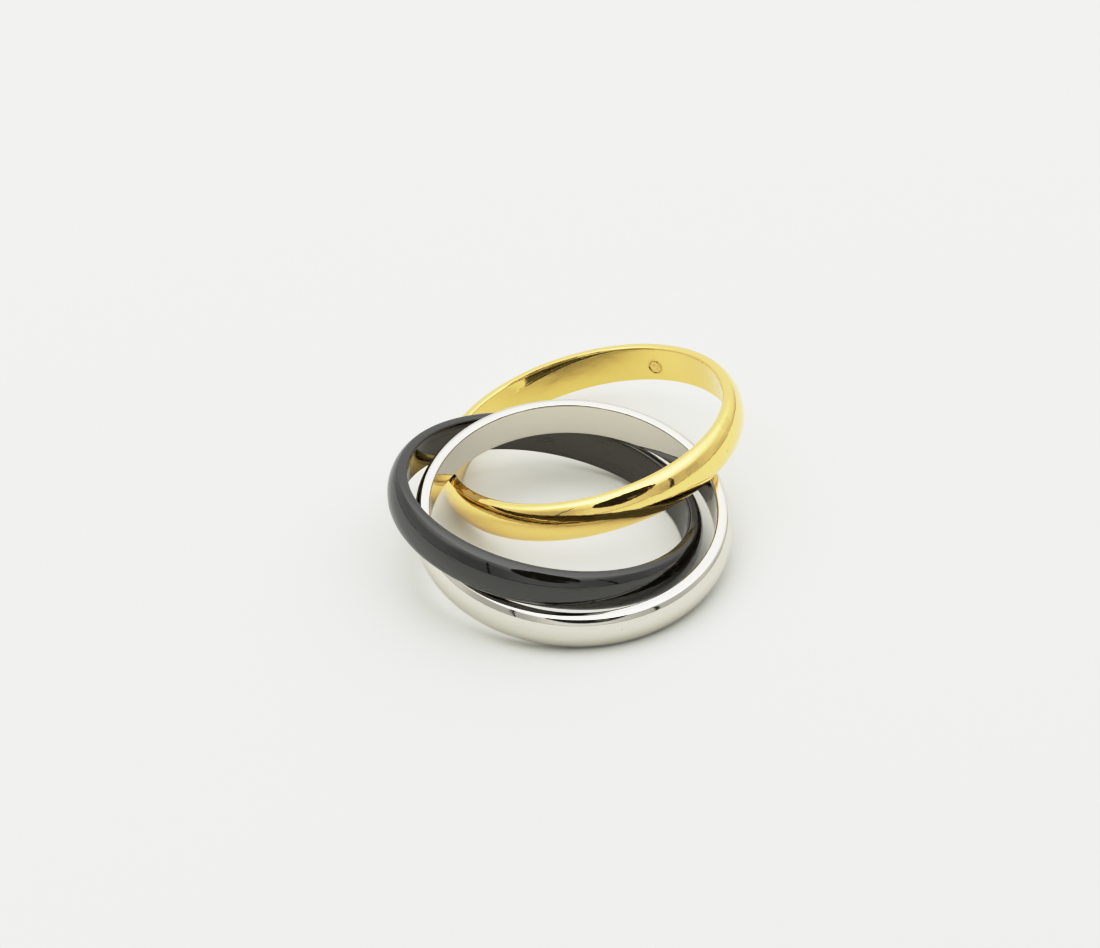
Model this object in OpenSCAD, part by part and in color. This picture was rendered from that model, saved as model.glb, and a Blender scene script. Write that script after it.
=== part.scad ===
// Rolling ring: three plain bands of one size, each linked through the other two, lying loose.
// A band is flat inside, where the finger goes, and domed outside, with two slightly rounded rims.
// The origin is on the table, under the middle of the three bands. Z is up, and the lengths are in mm.

/* [Band section] */
// Inner diameter of each band
band_inner_d = 18.4; // [18.4:0.1:20.4]
// Width of each band, along the finger
band_w = 2.64; // [2.54:0.01:2.64]
// Thickness of each band at the crown of its dome
band_t = 1.09; // [1.06:0.01:1.09]
// Width of the rim's flat, counted from the inner wall
rim_flat = 0.31; // [0.28:0.01:0.31]
// Radius of the rim beside its flat
rim_r = 0.74; // [0.7:0.01:0.78]
// Angle that the surface has turned where the rim meets the corner, counted from the crown
rim_turn = 66; // [65:1:67]
// Radius of the corner between the rim and the shoulder
corner_r = 0.14; // [0.12:0.01:0.16]
// Angle that the surface has turned where the dome meets the shoulder, counted from the crown
dome_turn = 22; // [21:1:23]
// Angle that the surface has turned where the shoulder meets the corner, counted from the crown
shoulder_turn = 46; // [45:1:47]
// Radius that eases the edge between the rim and the inner wall
inner_edge_r = 0.15; // [0.09:0.02:0.25]

/* [Silver band] */
// Lean of the silver band from level, in degrees
silver_lean = 10.7; // [10.5:0.1:10.9]
// Direction of its low side, in degrees from +X towards +Y
silver_low_side = -72.1; // [-73.1:0.1:-71.1]
// Its centre along X
silver_x = 0.19; // [0.17:0.01:0.21]
// Its centre along Y
silver_y = -4.15; // [-4.17:0.01:-4.13]

/* [Black band] */
// Lean of the black band from level, in degrees
black_lean = 12.6; // [12.4:0.1:12.8]
// Direction of its low side, in degrees from +X towards +Y
black_low_side = 19.7; // [19.1:0.1:20.3]
// Its centre along X
black_x = -1.54; // [-1.56:0.01:-1.52]
// Its centre along Y
black_y = -3.17; // [-3.19:0.01:-3.15]

/* [Gold band] */
// Lean of the gold band from level, in degrees
gold_lean = 14.1; // [13.9:0.1:14.3]
// Direction of its low side, in degrees from +X towards +Y
gold_low_side = 162.8; // [162:0.1:163.6]
// Its centre along X
gold_x = 1.59; // [1.57:0.01:1.61]
// Its centre along Y
gold_y = 4.04; // [4.02:0.01:4.06]

/* [Colours] */
// Colour of the white metal band
silver_colour = "gainsboro";
// Colour of the black ceramic band
black_colour = "dimgray";
// Colour of the yellow metal band
gold_colour = "khaki";

/* [Hidden] */

// Steps round a band, and round the arcs of its section
band_steps = 180;
arc_steps = 180;

// The places above are for this inner diameter, and they spread with a wider band
place_inner_d = 18.4;
spread = band_inner_d / place_inner_d;

// The section is drawn at its place beside the band's own axis, with its middle at height 0
wall_r = band_inner_d / 2;
half_w = band_w / 2;

// Centre of the rim's arc, which leaves the flat without a crease
rim_x = wall_r + rim_flat;
rim_z = half_w - rim_r;

// Centre of the corner's arc, which goes on from the rim's arc
corner_x = rim_x + (rim_r - corner_r) * cos(rim_turn);
corner_z = rim_z + (rim_r - corner_r) * sin(rim_turn);

// Dome and shoulder are two arcs that meet each other and the corner without a crease.
// Together they cover this height and this rise, from the crown to the end of the corner's arc
arcs_height = corner_z + corner_r * sin(shoulder_turn);
arcs_rise = wall_r + band_t - corner_x - corner_r * cos(shoulder_turn);

// The two radii follow from that height and rise
dome_cos = cos(dome_turn);
dome_sin = sin(dome_turn);
turn_cos = dome_cos - cos(shoulder_turn);
turn_sin = sin(shoulder_turn) - dome_sin;
determinant = dome_sin * turn_cos - turn_sin * (1 - dome_cos);
dome_r = (arcs_height * turn_cos - turn_sin * arcs_rise) / determinant;
shoulder_r = (dome_sin * arcs_rise - (1 - dome_cos) * arcs_height) / determinant;

// Centres of the two arcs
dome_x = wall_r + band_t - dome_r;
shoulder_x = dome_x + (dome_r - shoulder_r) * dome_cos;
shoulder_z = (dome_r - shoulder_r) * dome_sin;

// Height of the centre of a band whose low side just touches the table, with its rim's arc
function rest_height(lean) = rim_x * sin(lean) + rim_z * cos(lean) + rim_r;

// Sector of a circle, between two directions that are at most 120 degrees apart
module arc_sector(x, z, r, low, high) {
    reach = 2 * r;
    translate([x, z]) intersection() {
        circle(r = r, $fn = arc_steps);
        polygon([
            [0, 0],
            [reach * cos(low), reach * sin(low)],
            [reach * cos(high), reach * sin(high)]
        ]);
    }
}

// Part of the section under the rims' flats, with its two inner edges eased
module wall_block() {
    edge_x = wall_r + inner_edge_r;
    edge_z = half_w - inner_edge_r;
    translate([edge_x, -half_w]) square([rim_flat - inner_edge_r, band_w]);
    translate([wall_r, -edge_z]) square([rim_flat, 2 * edge_z]);
    for (side = [-1, 1])
        translate([edge_x, side * edge_z]) circle(r = inner_edge_r, $fn = arc_steps);
}

// Whole section of a band
module band_section() {
    intersection() {
        union() {
            arc_sector(dome_x, 0, dome_r, -dome_turn, dome_turn);
            arc_sector(shoulder_x, shoulder_z, shoulder_r, shoulder_turn - 110, shoulder_turn);
            arc_sector(shoulder_x, -shoulder_z, shoulder_r, -shoulder_turn, 110 - shoulder_turn);
            arc_sector(rim_x, rim_z, rim_r, rim_turn, 90);
            arc_sector(rim_x, -rim_z, rim_r, -90, -rim_turn);
            wall_block();
            for (side = [-1, 1])
                translate([corner_x, side * corner_z]) circle(r = corner_r, $fn = arc_steps);
        }
        translate([wall_r, -half_w]) square([band_t, band_w]);
    }
}

// A band about its own axis, which is Z
module band() {
    rotate_extrude($fn = band_steps) band_section();
}

// A band lying with its low side on the table
module resting_band(x, y, lean, low_side) {
    translate([spread * x, spread * y, rest_height(lean)])
        rotate([0, 0, low_side]) rotate([0, lean, 0]) band();
}

module silver_band() {
    color(silver_colour) resting_band(silver_x, silver_y, silver_lean, silver_low_side);
}

module black_band() {
    color(black_colour) resting_band(black_x, black_y, black_lean, black_low_side);
}

module gold_band() {
    color(gold_colour) resting_band(gold_x, gold_y, gold_lean, gold_low_side);
}

silver_band();
black_band();
gold_band();
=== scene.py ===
"""Looks of the rolling ring: a silver, a black and a gold band, each linked through the other two.

Every band is turned from one section, the same as its CAD solid's, and lies where the photograph shows it.
"""

import math
from collections import namedtuple

import bmesh
import bpy
from mathutils import Matrix, Vector


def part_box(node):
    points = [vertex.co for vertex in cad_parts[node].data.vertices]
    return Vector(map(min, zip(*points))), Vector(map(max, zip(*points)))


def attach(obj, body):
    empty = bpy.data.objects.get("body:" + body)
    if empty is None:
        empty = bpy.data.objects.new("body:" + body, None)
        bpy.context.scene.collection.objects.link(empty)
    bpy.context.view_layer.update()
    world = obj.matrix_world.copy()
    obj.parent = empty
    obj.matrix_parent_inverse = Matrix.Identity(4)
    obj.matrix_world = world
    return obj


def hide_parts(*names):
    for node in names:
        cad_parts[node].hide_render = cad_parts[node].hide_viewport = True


bl_info = {
    "name": "Rolling ring",
    "version": (1, 0, 0),
    "blender": (4, 5, 0),
    "location": "View3D > Sidebar > Ring",
    "description": "Makes three linked bands in white metal, black ceramic and yellow metal",
    "category": "Object",
}

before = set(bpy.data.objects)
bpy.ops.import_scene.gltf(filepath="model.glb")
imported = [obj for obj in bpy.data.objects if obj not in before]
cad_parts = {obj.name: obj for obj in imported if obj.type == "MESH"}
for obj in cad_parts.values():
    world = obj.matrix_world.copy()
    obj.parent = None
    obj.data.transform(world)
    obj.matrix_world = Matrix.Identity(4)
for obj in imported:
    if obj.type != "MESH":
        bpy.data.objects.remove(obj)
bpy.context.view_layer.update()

MM = 0.001
MICROMETRE = 0.001 * MM

# Steps along half the section, from the crown of the dome to the middle of the inner wall
DOME_STEPS = 14
SHOULDER_STEPS = 10
CORNER_STEPS = 6
RIM_STEPS = 10
FLAT_STEPS = 3
EDGE_STEPS = 10
WALL_STEPS = 8

# Steps round a band, and the distance in metres under which two vertices become one
ROUND_STEPS = 400
MERGE_REACH = 1e-7

# Small marks on a band, in its own frame: angles in degrees, and in millimetres the distance from the
# band's axis, the level along that axis and the size. A smudge reaches from its first angle to its last
Mark = namedtuple("Mark", "angle radius level size")
Smudge = namedtuple("Smudge", "first last radius level size")

# Heights and depths of what the buff and the wear leave on a band, in micrometres
Wear = namedtuple("Wear", "wave peel grain line nick buff", defaults=(0.0, 0.0, 0.0, 0.0, 0.0, 0.0))

BLACK_WEAR = Wear(wave=1.5, grain=0.02, line=0.2, buff=5.0)

SILVER_WEAR = Wear(wave=8.0, peel=0.8, grain=0.02, line=0.3, nick=10.0, buff=0.8)
SILVER_NICKS = (
    Mark(angle=-2.0, radius=10.24, level=0.45, size=0.09),
    Mark(angle=-30.4, radius=9.94, level=1.13, size=0.05),
    Mark(angle=-27.8, radius=9.66, level=1.3, size=0.05),
)

GOLD_WEAR = Wear(wave=20.0, peel=1.7, grain=0.03, line=0.3, nick=12.0, buff=0.8)
GOLD_NICKS = (
    Mark(angle=167.6, radius=10.28, level=-0.2, size=0.15),
    Mark(angle=-144.2, radius=9.2, level=0.07, size=0.13),
    Mark(angle=-144.7, radius=9.2, level=-0.36, size=0.12),
)
GOLD_SMUDGES = (
    Smudge(first=172.0, last=178.0, radius=9.93, level=1.12, size=0.45),
    Smudge(first=145.4, last=152.3, radius=10.2, level=0.58, size=0.25),
    Smudge(first=133.2, last=136.9, radius=10.23, level=0.5, size=0.3),
)
PUNCHED_DOT = Mark(angle=-102.7, radius=9.2, level=-0.17, size=0.5)

# Depths of the dot's groove and of its rough ground, in micrometres, and how dull they are, from 0 to 1
GROOVE_DEPTH = 20
GROUND_DEPTH = 50
GROOVE_DULL = 0.3
GROUND_DULL = 0.6

# How much of its colour a metal keeps on its inner wall, a painted shade there, and where it is fully dull
SILVER_INSIDE_SHADE = (0.95, 0.945, 0.93)
GOLD_INSIDE_SHADE = (0.84, 0.86, 0.74)
DULL_METAL = (0.55, 0.62, 0.6)

# How dull each trace of use leaves a band, from 0 to 1, and how much rougher
Trace = namedtuple("Trace", "dull rough")
GRAIN = Trace(dull=0.12, rough=0.03)
NICK = Trace(dull=0.5, rough=0.2)
SMUDGE = Trace(dull=0.32, rough=0.12)

# Roughness of a clean polished band, and how much rougher hairlines and the black band's buff lines are
POLISH = 0.05
METAL_SCRATCHED = 0.12
BLACK_SCRATCHED = 0.1
BLACK_BUFFED = 0.27

# Black ceramic: its refraction, the colour and share of the painted shade where it is seen edge-on, the tint
# of the painted warm reflection of the gold band that its inner wall mirrors, and how much lighter its grain
# is
CERAMIC_IOR = 1.72
GRAZING_SHADE_BLACK = (0.012, 0.01, 0.008, 1)
GRAZING_SHADE_SHARE = 0.2
INSIDE_GOLD_REFLECTION = (1.0, 0.96, 0.84, 1)
LIGHT_GRAIN = (1.4, 1.4, 1.4)

# Ways in which hairlines run, as turns about X, Y and Z in radians
METAL_HAIRLINES = ((0.3, 0.9, 0.4), (1.1, 0.2, 1.9))
BLACK_HAIRLINES = ((0.2, 1.2, 0.7), (1.4, 0.5, 2.2))

# Camera of the photograph: its place in millimetres, its angles in degrees and its focal length in pixels
CAMERA_PLACE = (-1.1826, -207.4045, 149.9941)
CAMERA_ELEVATION = 35.1725
CAMERA_ROLL = -1.8462
FOCAL_PIXELS = 3909.14
PHOTO_WIDTH_PIXELS = 1100
SENSOR_WIDTH = 36

# Light of the scene against tone of the picture. The curve is drawn up to the light FILM_WHITE
FILM_WHITE = 3.0
FILM_CURVE = (
    (0.2, 0.21),
    (0.4, 0.45),
    (0.55, 0.625),
    (0.7, 0.75),
    (0.9, 0.85),
    (1.1, 0.9),
    (1.4, 0.945),
    (1.8, 0.975),
    (2.4, 1.0),
)

# The tent: half its floor's side, and the distances of its wall and of the camera, in metres
HALF_FLOOR = 1.5
WALL_REACH = 0.33
CAMERA_REACH = 0.32

# Light of the tent: its colour, the light of its wall, what that gains higher up, the light of its roof, and
# what the roof loses straight up and at the rear
TENT_COLOUR = (0.985, 1.0, 0.97, 1)
WALL_LIGHT = 0.7
UPPER_LIGHT = 1.1
ROOF_LIGHT = 2.4
ZENITH_LOSS = 0.2
REAR_LOSS = 0.65

# Sides of the tent's wall: the azimuth of each, in degrees from the front towards +X, the cosines of the
# angles away from it between which it fades in, and the light that it adds to the wall and higher up
Side = namedtuple("Side", "azimuth start full wall upper")
FRONT = Side(azimuth=0, start=0.866, full=1.0, wall=0.12, upper=0.0)
LEFT = Side(azimuth=-42, start=0.809, full=1.0, wall=-0.22, upper=-0.5)
RIGHT = Side(azimuth=58, start=0.809, full=1.0, wall=-0.15, upper=0.2)
REAR = Side(azimuth=160, start=0.3, full=0.95, wall=0.28, upper=-0.3)

# Darker stretches low on the wall, which fade out between two elevations in degrees
Stretch = namedtuple("Stretch", "azimuth start full low high dark")
FOLD = Stretch(azimuth=122, start=0.82, full=0.97, low=5, high=20, dark=0.24)
HOLLOW = Stretch(azimuth=165, start=0.6, full=0.85, low=0, high=12, dark=0.25)

# Dark seams of the tent's wall, with their azimuths and elevations in degrees and their widths in metres
Seam = namedtuple("Seam", "name azimuth low high width")
SEAMS = (
    Seam(name="left_seam", azimuth=-35, low=0, high=43, width=0.011),
    Seam(name="right_seam", azimuth=52, low=0, high=36, width=0.011),
    Seam(name="right_fold", azimuth=52.5, low=4, high=22, width=0.02),
)


class Socket:
    """A shader socket that can stand in a Python sum."""

    def __init__(self, graph, socket):
        self.graph = graph
        self.socket = socket

    def _math(self, operation, *values):
        return self.graph.node("ShaderNodeMath", {"operation": operation}, dict(enumerate(values)))

    def __add__(self, other):
        return self._math("ADD", self, other)

    def __radd__(self, other):
        return self._math("ADD", other, self)

    def __sub__(self, other):
        return self._math("SUBTRACT", self, other)

    def __rsub__(self, other):
        return self._math("SUBTRACT", other, self)

    def __mul__(self, other):
        return self._math("MULTIPLY", self, other)

    def __rmul__(self, other):
        return self._math("MULTIPLY", other, self)

    def __truediv__(self, other):
        return self._math("DIVIDE", self, other)

    def __rtruediv__(self, other):
        return self._math("DIVIDE", other, self)

    def __pow__(self, other):
        return self._math("POWER", self, other)

    def __rpow__(self, other):
        return self._math("POWER", other, self)

    def __abs__(self):
        return self._math("ABSOLUTE", self)

    def above(self, low, high):
        """0 below low, 1 over high, and smooth between them."""
        settings = {"interpolation_type": "SMOOTHSTEP"}
        values = {"Value": self, "From Min": low, "From Max": high}
        return self.graph.node("ShaderNodeMapRange", settings, values)


class Graph:
    """The nodes of one material or of the world."""

    def __init__(self, tree):
        self.tree = tree
        tree.nodes.clear()

    def node(self, kind, settings=None, values=None, output=0):
        """Adds a node, sets it up, fills or links its sockets, and returns one of its outputs."""
        made = self.tree.nodes.new(kind)
        for key, value in (settings or {}).items():
            setattr(made, key, value)
        for key, value in (values or {}).items():
            if isinstance(value, Socket):
                self.tree.links.new(value.socket, made.inputs[key])
            else:
                made.inputs[key].default_value = value
        return Socket(self, made.outputs[output])

    def split(self, vector):
        """The three parts of a vector."""
        return [self.node("ShaderNodeSeparateXYZ", {}, {"Vector": vector}, output=part) for part in "XYZ"]

    def mix_colours(self, factor, first, second):
        """The first colour where the factor is 0, and the second where it is 1."""
        settings = {"data_type": "RGBA", "blend_type": "MIX"}
        return self.node("ShaderNodeMix", settings, {0: factor, 6: first, 7: second}, output=2)

    def mix_shaders(self, factor, first, second):
        """The first shader where the factor is 0, and the second where it is 1."""
        return self.node("ShaderNodeMixShader", {}, {0: factor, 1: first, 2: second})

    def end(self, kind, shader):
        """Links a shader to the node that ends the material or the world."""
        last = self.tree.nodes.new(kind)
        self.tree.links.new(shader.socket, last.inputs["Surface"])


class BandSection(bpy.types.PropertyGroup):
    """Section that the three bands share."""

    inner_d: bpy.props.FloatProperty(
        name="Inner diameter",
        description="Inside diameter of each band",
        default=18.4 * MM,
        unit="LENGTH",
        precision=5,
    )
    width: bpy.props.FloatProperty(
        name="Width",
        description="Width of each band, along the finger",
        default=2.64 * MM,
        unit="LENGTH",
        precision=5,
    )
    thickness: bpy.props.FloatProperty(
        name="Thickness",
        description="Thickness at the crown of the dome",
        default=1.09 * MM,
        unit="LENGTH",
        precision=5,
    )
    rim_flat: bpy.props.FloatProperty(
        name="Rim flat",
        description="Flat of the rim, counted from the inner wall",
        default=0.31 * MM,
        unit="LENGTH",
        precision=5,
    )
    rim_r: bpy.props.FloatProperty(
        name="Rim radius",
        description="Radius of the rim beside its flat",
        default=0.74 * MM,
        unit="LENGTH",
        precision=5,
    )
    rim_turn: bpy.props.FloatProperty(
        name="Rim turn",
        description="Turn from the crown to the rim",
        default=math.radians(66),
        subtype="ANGLE",
    )
    corner_r: bpy.props.FloatProperty(
        name="Corner radius",
        description="Radius between the rim and the shoulder",
        default=0.14 * MM,
        unit="LENGTH",
        precision=5,
    )
    dome_turn: bpy.props.FloatProperty(
        name="Dome turn",
        description="Turn from the crown to the shoulder",
        default=math.radians(22),
        subtype="ANGLE",
    )
    shoulder_turn: bpy.props.FloatProperty(
        name="Shoulder turn",
        description="Turn from the crown to the corner",
        default=math.radians(46),
        subtype="ANGLE",
    )
    inner_edge_r: bpy.props.FloatProperty(
        name="Inner edge radius",
        description="Radius that eases the inner wall's edges",
        default=0.15 * MM,
        unit="LENGTH",
        precision=5,
    )


class BandPlaces(bpy.types.PropertyGroup):
    """How each band leans as it lies in the others."""

    silver_lean: bpy.props.FloatProperty(
        name="Silver lean",
        description="Lean of the silver band from level",
        default=math.radians(10.7),
        subtype="ANGLE",
    )
    silver_low_side: bpy.props.FloatProperty(
        name="Silver low side",
        description="Direction of the silver band's low side, from +X",
        default=math.radians(-72.1),
        subtype="ANGLE",
    )
    black_lean: bpy.props.FloatProperty(
        name="Black lean",
        description="Lean of the black band from level",
        default=math.radians(12.6),
        subtype="ANGLE",
    )
    black_low_side: bpy.props.FloatProperty(
        name="Black low side",
        description="Direction of the black band's low side, from +X",
        default=math.radians(19.7),
        subtype="ANGLE",
    )
    gold_lean: bpy.props.FloatProperty(
        name="Gold lean",
        description="Lean of the gold band from level",
        default=math.radians(14.1),
        subtype="ANGLE",
    )
    gold_low_side: bpy.props.FloatProperty(
        name="Gold low side",
        description="Direction of the gold band's low side, from +X",
        default=math.radians(162.8),
        subtype="ANGLE",
    )


class Finishes(bpy.types.PropertyGroup):
    """Colours of the bands and of the floor, and the light on them."""

    silver: bpy.props.FloatVectorProperty(
        name="White metal",
        description="Colour of the silver band",
        default=(0.708, 0.672, 0.605),
        subtype="COLOR",
        min=0,
        max=1,
    )
    black: bpy.props.FloatVectorProperty(
        name="Black ceramic",
        description="Colour of the black band",
        default=(0.0045, 0.0035, 0.002),
        subtype="COLOR",
        min=0,
        max=1,
    )
    gold: bpy.props.FloatVectorProperty(
        name="Yellow metal",
        description="Colour of the gold band",
        default=(0.98, 0.694, 0.236),
        subtype="COLOR",
        min=0,
        max=1,
    )
    floor: bpy.props.FloatVectorProperty(
        name="Floor",
        description="Colour of the floor",
        default=(0.715, 0.72, 0.69),
        subtype="COLOR",
        min=0,
        max=1,
    )
    tent_light: bpy.props.FloatProperty(
        name="Tent light",
        description="Brightness of the light tent",
        default=1.0,
        min=0,
    )


def arc_centres(size):
    """Centres of the four arcs of the section, from the crown to the rim."""
    wall_r = size.inner_d / 2
    rim = Vector((wall_r + size.rim_flat, 0, size.width / 2 - size.rim_r))
    reach = size.rim_r - size.corner_r
    corner = rim + Vector((reach * math.cos(size.rim_turn), 0, reach * math.sin(size.rim_turn)))

    # Dome and shoulder reach from the crown to the corner, and meet without a crease
    height = corner.z + size.corner_r * math.sin(size.shoulder_turn)
    rise = wall_r + size.thickness - corner.x - size.corner_r * math.cos(size.shoulder_turn)
    dome_cos = math.cos(size.dome_turn)
    dome_sin = math.sin(size.dome_turn)
    turn_cos = dome_cos - math.cos(size.shoulder_turn)
    turn_sin = math.sin(size.shoulder_turn) - dome_sin
    determinant = dome_sin * turn_cos - turn_sin * (1 - dome_cos)
    dome_r = (height * turn_cos - turn_sin * rise) / determinant
    shoulder_r = (dome_sin * rise - (1 - dome_cos) * height) / determinant
    dome = Vector((wall_r + size.thickness - dome_r, 0, 0))
    reach = dome_r - shoulder_r
    shoulder = dome + Vector((reach * dome_cos, 0, reach * dome_sin))
    return dome, shoulder, corner, rim


def turn_arc(bm, vert, centre, angle, steps):
    """Draws an arc from vert about centre, towards the inner wall, and returns its last vertex."""
    made = bmesh.ops.spin(
        bm, geom=[vert], cent=centre, axis=(0, -1, 0), angle=angle, steps=steps, use_merge=False
    )
    return [v for v in made["geom_last"] if isinstance(v, bmesh.types.BMVert)][0]


def draw_line(bm, vert, along, steps):
    """Draws a straight line from vert in even steps and returns its last vertex."""
    for _ in range(steps):
        vert = bmesh.ops.extrude_vert_indiv(bm, verts=[vert])["verts"][0]
        vert.co += Vector(along) / steps
    return vert


def band_mesh(name, place):
    """Turns the section about the band's axis, and sets the band in its place."""
    size = bpy.context.scene.ring_section
    wall_r = size.inner_d / 2
    half_w = size.width / 2
    edge_r = size.inner_edge_r
    edge = (wall_r + edge_r, 0, half_w - edge_r)
    dome, shoulder, corner, rim = arc_centres(size)

    bm = bmesh.new()
    vert = bm.verts.new((wall_r + size.thickness, 0, 0))
    vert = turn_arc(bm, vert, dome, size.dome_turn, DOME_STEPS)
    vert = turn_arc(bm, vert, shoulder, size.shoulder_turn - size.dome_turn, SHOULDER_STEPS)
    vert = turn_arc(bm, vert, corner, size.rim_turn - size.shoulder_turn, CORNER_STEPS)
    vert = turn_arc(bm, vert, rim, math.pi / 2 - size.rim_turn, RIM_STEPS)
    vert = draw_line(bm, vert, (edge_r - size.rim_flat, 0, 0), FLAT_STEPS)
    vert = turn_arc(bm, vert, edge, math.pi / 2, EDGE_STEPS)
    draw_line(bm, vert, (0, 0, edge_r - half_w), WALL_STEPS)
    bmesh.ops.mirror(bm, geom=bm.verts[:] + bm.edges[:], axis="Z", merge_dist=MERGE_REACH)
    bmesh.ops.remove_doubles(bm, verts=bm.verts[:], dist=MERGE_REACH)
    bmesh.ops.spin(
        bm,
        geom=bm.verts[:] + bm.edges[:],
        cent=(0, 0, 0),
        axis=(0, 0, 1),
        angle=math.tau,
        steps=ROUND_STEPS,
        use_merge=True,
    )
    bmesh.ops.remove_doubles(bm, verts=bm.verts[:], dist=MERGE_REACH)
    bmesh.ops.recalc_face_normals(bm, faces=bm.faces[:])
    bmesh.ops.transform(bm, matrix=place, space=Matrix.Identity(4), verts=bm.verts[:])
    for face in bm.faces:
        face.smooth = True
    mesh = bpy.data.meshes.new(name)
    bm.to_mesh(mesh)
    bm.free()
    return mesh


def band_place(node, lean, low_side):
    """Where a band lies: the middle of its node's box, turned by its lean."""
    low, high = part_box(node)
    centre = (low + high) / 2
    return Matrix.Translation(centre) @ Matrix.Rotation(low_side, 4, "Z") @ Matrix.Rotation(lean, 4, "Y")


def dress_band(node, lean, low_side, finish):
    """Makes a band's piece in its finish, hides its CAD part, and parents the piece to its body's empty."""
    place = band_place(node, lean, low_side)
    name = node.replace("_band", "_polished")
    band = bpy.data.objects.new(name, band_mesh(name, place))
    bpy.context.scene.collection.objects.link(band)
    band.data.materials.append(finish(name, place))
    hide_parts(node)
    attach(band, node)


def band_coordinates(graph, place):
    """Object coordinates turned into the band's own frame, in millimetres."""
    values = {
        "Vector": graph.node("ShaderNodeTexCoord", output="Object"),
        "Location": place.to_translation(),
        "Rotation": place.to_euler("XYZ"),
        "Scale": (MM, MM, MM),
    }
    return graph.node("ShaderNodeMapping", {"vector_type": "TEXTURE"}, values)


def noise(graph, vector, scale, detail=2.0, roughness=0.5):
    """Soft clouds from 0 to 1, about 1 / scale across."""
    values = {"Vector": vector, "Scale": scale, "Detail": detail, "Roughness": roughness}
    return graph.node("ShaderNodeTexNoise", {}, values)


def stretched(graph, vector, turn, stretch):
    """Coordinates turned by turn and drawn out along one way, for hairlines."""
    values = {"Vector": vector, "Rotation": turn, "Scale": stretch}
    return graph.node("ShaderNodeMapping", {"vector_type": "POINT"}, values)


def hairlines(graph, where, turn, density):
    """Thin, long, broken scratches that run one way: 1 in a scratch, 0 beside it."""
    sharpness = 60
    fade = 0.06
    drawn = stretched(graph, where, turn, (0.35, 5.0, 5.0))
    wave = noise(graph, drawn, scale=1.0, detail=1.0, roughness=0.4)
    line = 1 - (abs(wave - 0.5) * sharpness).above(0.0, 1.0)
    patch = noise(graph, stretched(graph, where, turn, (0.5, 0.9, 0.9)), scale=1.0, detail=1.0)
    return line * patch.above(density, density + fade)


def crossed_hairlines(graph, where, turns, density):
    """Hairlines that run two ways."""
    first, second = turns
    return hairlines(graph, where, first, density) + hairlines(graph, where, second, density)


def away_from(graph, where, angle, radius, level):
    """Distance in millimetres from a point of the band, given by its angle, radius and level."""
    spot = (radius * math.cos(math.radians(angle)), radius * math.sin(math.radians(angle)), level)
    settings = {"operation": "DISTANCE"}
    return graph.node("ShaderNodeVectorMath", settings, {0: where, 1: spot}, output="Value")


def from_axis(graph, where):
    """Distance from the band's own axis, in millimetres."""
    across, back, _ = graph.split(where)
    return (across * across + back * back) ** 0.5


def inside_wall(graph, where):
    """1 on the band's inner wall and 0 on its rims and its dome."""
    wall_r = bpy.context.scene.ring_section.inner_d / 2 / MM
    start = wall_r + 0.005
    end = wall_r + 0.1
    return 1 - from_axis(graph, where).above(start, end)


def slant(graph):
    """0 where the surface is seen head-on, rising to 1 where it is seen edge-on."""
    return graph.node("ShaderNodeLayerWeight", {}, {"Blend": 0.5}, output="Facing")


def buff_lines(graph, where):
    """Fine lines that the buff leaves round the band, in patches: 0 between them."""
    across, back, up = graph.split(where)
    fine = 11.0
    long = 0.16
    values = {"X": across * long + from_axis(graph, where) * fine, "Y": back * long, "Z": up * fine}
    round_band = graph.node("ShaderNodeCombineXYZ", {}, values)
    patch = noise(graph, where, scale=0.5, roughness=0.6).above(0.38, 0.62)
    return (noise(graph, round_band, scale=1.0) - 0.5) * patch


def eased_edge(graph, where):
    """How far the gold band's inner wall draws back towards its upper rim, in micrometres.

    It starts from a line that climbs along the band, and only on the side that lies towards middle.
    """
    across, back, up = graph.split(where)
    middle = math.radians(-45)
    level = 0.42
    climb = 0.12
    slope = 118
    along = back * math.cos(middle) - across * math.sin(middle)
    side = (across * math.cos(middle) + back * math.sin(middle)).above(0.0, 3.0)
    reach = up - level + along * climb
    start = (along * -1).above(-1.8, 0.1)
    return reach * reach.above(0.0, 0.25) * start * side * inside_wall(graph, where) * slope


def nick_mask(graph, where, nicks):
    """1 in a nick and 0 beside it: tiny pits strewn at random, and the nicks at their own places."""
    values = {"Vector": where, "Scale": 0.32, "Randomness": 1.0}
    pits = graph.node("ShaderNodeTexVoronoi", {"feature": "F1", "distance": "EUCLIDEAN"}, values)
    mask = 1 - pits.above(0.012, 0.024)
    for nick in nicks:
        away = away_from(graph, where, nick.angle, nick.radius, nick.level)
        mask = mask + (1 - away.above(nick.size * 0.5, nick.size))
    return mask


def smudge_mask(graph, where, peel, smudge):
    """1 in a smudge and 0 beside it: a long oval between two angles, with an uneven edge."""
    unevenness = 0.8
    length = smudge.radius * math.radians(abs(smudge.last - smudge.first))
    reach = away_from(graph, where, smudge.first, smudge.radius, smudge.level)
    reach = reach + away_from(graph, where, smudge.last, smudge.radius, smudge.level)
    return 1 - (reach + peel * unevenness - unevenness / 2 - length).above(0.0, smudge.size)


def punched_dot(graph, where):
    """A round groove, and the rough ground inside it."""
    away = away_from(graph, where, PUNCHED_DOT.angle, PUNCHED_DOT.radius, PUNCHED_DOT.level)
    dot = 1 - away.above(PUNCHED_DOT.size - 0.04, PUNCHED_DOT.size + 0.04)
    groove = 1 - abs(away - (PUNCHED_DOT.size - 0.03)).above(0.03, 0.14)
    return groove, dot * noise(graph, where, scale=5.5, roughness=0.7)


def relief(graph, height):
    """Bump of a surface whose height is given in micrometres."""
    return graph.node("ShaderNodeBump", {}, {"Height": height, "Strength": 1.0, "Distance": MICROMETRE})


def tinted(colour, tint):
    """A colour times a tint, with the fourth part that a colour socket takes."""
    return (*[part * share for part, share in zip(colour, tint)], 1)


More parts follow.
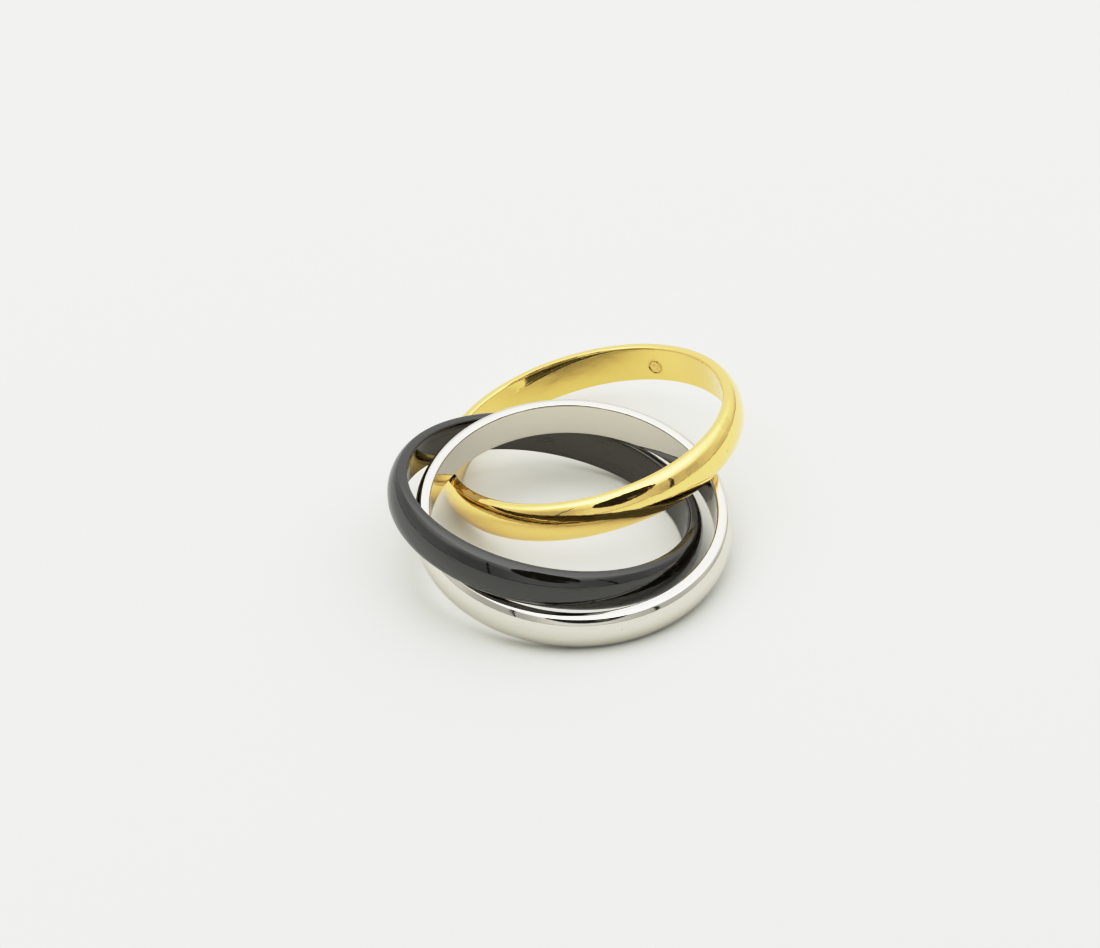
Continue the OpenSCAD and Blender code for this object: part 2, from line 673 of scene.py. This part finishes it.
def new_material(name):
    """A new material and its empty graph."""
    material = bpy.data.materials.new(name)
    material.use_nodes = True
    return material, Graph(material.node_tree)


def polished_metal(name, place, colour, inside, wear, nicks, smudges=(), marked=False):
    """Precious metal with slight waves left by the buff, hairlines and nicks.

    A marked band also has the punched dot and the eased edge in its inner wall.
    """
    material, graph = new_material(name)
    where = band_coordinates(graph, place)
    wave = noise(graph, where, scale=0.9, roughness=0.45)
    grain = noise(graph, where, scale=14.0, detail=3.0, roughness=0.6)
    lines = crossed_hairlines(graph, where, METAL_HAIRLINES, density=0.56)
    nick = nick_mask(graph, where, nicks)
    peel = noise(graph, where, scale=4.5, roughness=0.6)
    height = wave * wear.wave + peel * wear.peel + grain * wear.grain - lines * wear.line - nick * wear.nick
    height = height + buff_lines(graph, where) * wear.buff

    # How far the colour goes towards dull metal, and how much rougher nicks and smudges are
    dull = grain.above(0.3, 0.8) * GRAIN.dull + nick * NICK.dull
    haze = nick * NICK.rough
    for smudge in smudges:
        smudged = smudge_mask(graph, where, peel, smudge)
        dull = dull + smudged * SMUDGE.dull
        haze = haze + smudged * SMUDGE.rough
    if marked:
        groove, ground = punched_dot(graph, where)
        height = height - groove * GROOVE_DEPTH - ground * GROUND_DEPTH - eased_edge(graph, where)
        dull = dull + groove * GROOVE_DULL + ground.above(0.44, 0.56) * GROUND_DULL

    # Painted shade: the inner wall is tinted darker only where it is seen head-on
    head_on = 1 - slant(graph).above(0.15, 0.45)
    shaded_inside = inside_wall(graph, where) * head_on
    tint = graph.mix_colours(shaded_inside, (*colour, 1), tinted(colour, inside))
    values = {
        "Base Color": graph.mix_colours(dull, tint, tinted(colour, DULL_METAL)),
        "Metallic": 1.0,
        "Roughness": POLISH + grain.above(0.35, 0.75) * GRAIN.rough + lines * METAL_SCRATCHED + haze,
        "Normal": relief(graph, height),
    }
    graph.end("ShaderNodeOutputMaterial", graph.node("ShaderNodeBsdfPrincipled", {}, values))
    return material


def white_metal(name, place):
    """The silver band's finish."""
    colour = bpy.context.scene.ring_finishes.silver
    return polished_metal(name, place, colour, SILVER_INSIDE_SHADE, SILVER_WEAR, SILVER_NICKS)


def yellow_metal(name, place):
    """The gold band's finish."""
    colour = bpy.context.scene.ring_finishes.gold
    return polished_metal(
        name, place, colour, GOLD_INSIDE_SHADE, GOLD_WEAR, GOLD_NICKS, smudges=GOLD_SMUDGES, marked=True
    )


def black_ceramic(name, place):
    """The black band's finish: a hard glossy skin with faint hairlines and buff lines, painted shade where
    it is seen edge-on, and warmer inside, which is a painted warm reflection of the gold band.
    """
    material, graph = new_material(name)
    colour = bpy.context.scene.ring_finishes.black
    where = band_coordinates(graph, place)
    wave = noise(graph, where, scale=1.1, roughness=0.45)
    grain = noise(graph, where, scale=18.0, detail=3.0, roughness=0.6)
    lines = crossed_hairlines(graph, where, BLACK_HAIRLINES, density=0.57)
    buffed = buff_lines(graph, where)
    height = wave * BLACK_WEAR.wave + grain * BLACK_WEAR.grain - lines * BLACK_WEAR.line
    height = height + buffed * BLACK_WEAR.buff
    streaks = buffed.above(0.02, 0.1) * BLACK_BUFFED
    values = {
        "Base Color": graph.mix_colours(grain.above(0.3, 0.8), (*colour, 1), tinted(colour, LIGHT_GRAIN)),
        "Roughness": POLISH + grain.above(0.35, 0.75) * GRAIN.rough + lines * BLACK_SCRATCHED + streaks,
        "IOR": CERAMIC_IOR,
        "Normal": relief(graph, height),
    }
    outside = graph.node("ShaderNodeBsdfPrincipled", {}, values)
    # Painted warm reflection: on the inner wall the band mirrors with a warm tint, standing in for the gold
    # band's light
    inside = graph.node("ShaderNodeBsdfPrincipled", {}, values | {"Specular Tint": INSIDE_GOLD_REFLECTION})
    skin = graph.mix_shaders(inside_wall(graph, where), outside, inside)
    # Painted shade: a near-black diffuse is mixed in where the band is seen edge-on, darkening its outline
    grazing_shade = graph.node("ShaderNodeBsdfDiffuse", {}, {"Color": GRAZING_SHADE_BLACK})
    shader = graph.mix_shaders(slant(graph).above(0.42, 0.6) * GRAZING_SHADE_SHARE, skin, grazing_shade)
    graph.end("ShaderNodeOutputMaterial", shader)
    return material


class RING_OT_silver_band(bpy.types.Operator):
    """Makes the silver band"""

    bl_idname = "ring.silver_band"
    bl_label = "Silver band"

    def execute(self, context):
        places = context.scene.ring_places
        dress_band("silver_band", places.silver_lean, places.silver_low_side, white_metal)
        return {"FINISHED"}


class RING_OT_black_band(bpy.types.Operator):
    """Makes the black band"""

    bl_idname = "ring.black_band"
    bl_label = "Black band"

    def execute(self, context):
        places = context.scene.ring_places
        dress_band("black_band", places.black_lean, places.black_low_side, black_ceramic)
        return {"FINISHED"}


class RING_OT_gold_band(bpy.types.Operator):
    """Makes the gold band"""

    bl_idname = "ring.gold_band"
    bl_label = "Gold band"

    def execute(self, context):
        places = context.scene.ring_places
        dress_band("gold_band", places.gold_lean, places.gold_low_side, yellow_metal)
        return {"FINISHED"}


def cloth(name, colour):
    """Matt cloth of one colour."""
    material, graph = new_material(name)
    values = {"Base Color": (*colour, 1), "Roughness": 0.9}
    graph.end("ShaderNodeOutputMaterial", graph.node("ShaderNodeBsdfPrincipled", {}, values))
    return material


def stage_piece(name, bm, material, seen=False):
    """A stage piece. One that isn't seen by the camera shows in reflections only."""
    mesh = bpy.data.meshes.new(name)
    bm.to_mesh(mesh)
    bm.free()
    piece = bpy.data.objects.new(name, mesh)
    bpy.context.scene.collection.objects.link(piece)
    piece.data.materials.append(material)
    piece.visible_camera = seen


def lay_floor(colour):
    """The pale floor that the ring lies on."""
    bm = bmesh.new()
    bmesh.ops.create_grid(bm, x_segments=1, y_segments=1, size=HALF_FLOOR)
    stage_piece("floor", bm, cloth("floor", colour), seen=True)


def hem(name, radius, height, first, last, material):
    """Cloth on edge, round the foot of the tent's wall, between two azimuths in degrees."""
    bm = bmesh.new()
    turn = Matrix.Rotation(math.radians(first), 3, "Z")
    foot = bm.verts.new(turn @ Vector((0, -radius, 0)))
    draw_line(bm, foot, (0, 0, height), 1)
    bmesh.ops.spin(
        bm,
        geom=bm.verts[:] + bm.edges[:],
        cent=(0, 0, 0),
        axis=(0, 0, 1),
        angle=math.radians(last - first),
        steps=96,
        use_merge=False,
    )
    stage_piece(name, bm, material)


def card(name, azimuth, elevation, distance, size, material, segments=4):
    """A card that faces the ring, with 4 sides or round. Azimuth is counted from the front towards +X."""
    bm = bmesh.new()
    if segments == 4:
        bmesh.ops.create_grid(bm, x_segments=1, y_segments=1, size=0.5)
    else:
        bmesh.ops.create_circle(bm, cap_ends=True, segments=segments, radius=0.5)
    bmesh.ops.scale(bm, vec=(*size, 1), verts=bm.verts[:])
    turn = Matrix.Rotation(azimuth, 4, "Z") @ Matrix.Rotation(math.pi / 2 - elevation, 4, "X")
    level = math.cos(elevation)
    away = Vector((math.sin(azimuth) * level, -math.cos(azimuth) * level, math.sin(elevation)))
    place = Matrix.Translation(away * distance) @ turn
    bmesh.ops.transform(bm, matrix=place, space=Matrix.Identity(4), verts=bm.verts[:])
    stage_piece(name, bm, material)


def tent_cards():
    """What the bright bands mirror: the camera and its hole, the seams and the foot of the tent's wall."""
    dark = cloth("dark_cloth", (0.004, 0.004, 0.004))
    card(
        "camera_hole",
        azimuth=math.radians(11.3),
        elevation=math.radians(36.5),
        distance=WALL_REACH,
        size=(0.26, 0.26),
        material=dark,
        segments=64,
    )
    card(
        "camera_body",
        azimuth=math.radians(20),
        elevation=math.radians(26),
        distance=CAMERA_REACH,
        size=(0.045, 0.055),
        material=cloth("camera_body", (0.12, 0.12, 0.11)),
        segments=24,
    )
    for seam in SEAMS:
        card(
            seam.name,
            azimuth=math.radians(seam.azimuth),
            elevation=math.radians((seam.low + seam.high) / 2),
            distance=WALL_REACH,
            size=(seam.width, WALL_REACH * math.radians(seam.high - seam.low)),
            material=dark,
        )
    grey = cloth("grey_cloth", (0.12, 0.12, 0.12))
    hem("floor_seam", radius=0.4, height=0.009, first=-130, last=112, material=grey)


def tent_light(graph):
    """Light of the tent by direction: a bright roof over a grey wall that is darker in places."""
    across, back, up = graph.split(graph.node("ShaderNodeTexCoord", output="Generated"))

    # Straight up, the level part of a direction would be 0, and nothing can be divided by that
    least = 0.000001
    level = (across * across + back * back + least) ** 0.5

    def facing(side):
        """1 towards a side of the tent, and 0 away from it."""
        angle = math.radians(side.azimuth)
        return ((across * math.sin(angle) - back * math.cos(angle)) / level).above(side.start, side.full)

    def over(low, high):
        """0 under the low elevation and 1 over the high one, both in degrees."""
        return up.above(math.sin(math.radians(low)), math.sin(math.radians(high)))

    # Each side adds to the light of the wall or takes from it, and the wall brightens towards the roof
    wall = WALL_LIGHT
    upper = UPPER_LIGHT
    for side in (FRONT, LEFT, RIGHT, REAR):
        there = facing(side)
        wall = wall + there * side.wall
        upper = upper + there * side.upper
    for stretch in (FOLD, HOLLOW):
        wall = wall - facing(stretch) * (1 - over(stretch.low, stretch.high)) * stretch.dark
    wall = wall + over(26, 54) * upper

    # The roof is a little dimmer straight up, and more so at the rear
    zenith = up.above(0.85, 0.97)
    roof = ROOF_LIGHT - zenith * ZENITH_LOSS - facing(REAR) * (1 - zenith) * REAR_LOSS
    top = over(46, 58)
    return wall * (1 - top) + roof * top


def light_tent(scene):
    """The world that lights the ring."""
    world = bpy.data.worlds.new("light_tent")
    scene.world = world
    world.use_nodes = True
    graph = Graph(world.node_tree)
    tent = tent_light(graph) * scene.ring_finishes.tent_light
    light = graph.node("ShaderNodeBackground", {}, {"Color": TENT_COLOUR, "Strength": tent})
    graph.end("ShaderNodeOutputWorld", light)


def photo_camera(scene):
    """The camera, at the photograph's place and angle."""
    elevation = math.radians(CAMERA_ELEVATION)
    roll = math.radians(CAMERA_ROLL)
    ahead = Vector((0, math.cos(elevation), -math.sin(elevation)))
    level = Vector((1, 0, 0))
    rise = level.cross(ahead)
    right = level * math.cos(roll) + rise * math.sin(roll)
    up = rise * math.cos(roll) - level * math.sin(roll)
    turn = Matrix((right, up, -ahead)).transposed().to_4x4()
    camera = bpy.data.objects.new("camera", bpy.data.cameras.new("camera"))
    camera.data.sensor_fit = "HORIZONTAL"
    camera.data.sensor_width = SENSOR_WIDTH
    camera.data.lens = FOCAL_PIXELS / PHOTO_WIDTH_PIXELS * SENSOR_WIDTH
    camera.data.clip_start = 0.01
    camera.matrix_world = Matrix.Translation(Vector(CAMERA_PLACE) * MM) @ turn
    scene.collection.objects.link(camera)
    scene.camera = camera


def film_curve(view):
    """Rolls the brightest tones off softly, as the photograph does."""
    view.view_transform = "Standard"
    view.use_curve_mapping = True
    mapping = view.curve_mapping
    mapping.white_level = (FILM_WHITE, FILM_WHITE, FILM_WHITE)
    combined = mapping.curves[3]
    combined.points[0].location = (0, 0)
    combined.points[1].location = (1, 1)
    for light, tone in FILM_CURVE:
        combined.points.new(light / FILM_WHITE, tone)
    mapping.update()


class RING_OT_stage(bpy.types.Operator):
    """Makes the floor, the light tent and the camera"""

    bl_idname = "ring.stage"
    bl_label = "Stage"

    def execute(self, context):
        lay_floor(context.scene.ring_finishes.floor)
        tent_cards()
        light_tent(context.scene)
        photo_camera(context.scene)
        film_curve(context.scene.view_settings)
        return {"FINISHED"}


class RING_PT_panel(bpy.types.Panel):
    """Lists the steps that make the ring"""

    bl_idname = "RING_PT_panel"
    bl_label = "Rolling ring"
    bl_space_type = "VIEW_3D"
    bl_region_type = "UI"
    bl_category = "Ring"

    def draw(self, context):
        for step in STEPS:
            self.layout.operator(step.bl_idname)


STEPS = (RING_OT_silver_band, RING_OT_black_band, RING_OT_gold_band, RING_OT_stage)
GROUPS = {"ring_section": BandSection, "ring_places": BandPlaces, "ring_finishes": Finishes}


def register():
    for group in GROUPS.values():
        bpy.utils.register_class(group)
    for name, group in GROUPS.items():
        setattr(bpy.types.Scene, name, bpy.props.PointerProperty(type=group))
    for step in STEPS:
        bpy.utils.register_class(step)
    bpy.utils.register_class(RING_PT_panel)


def unregister():
    bpy.utils.unregister_class(RING_PT_panel)
    for step in reversed(STEPS):
        bpy.utils.unregister_class(step)
    for name, group in GROUPS.items():
        delattr(bpy.types.Scene, name)
        bpy.utils.unregister_class(group)


def main():
    register()
    bpy.ops.ring.silver_band()
    bpy.ops.ring.black_band()
    bpy.ops.ring.gold_band()
    bpy.ops.ring.stage()


if __name__ == "__main__":
    main()
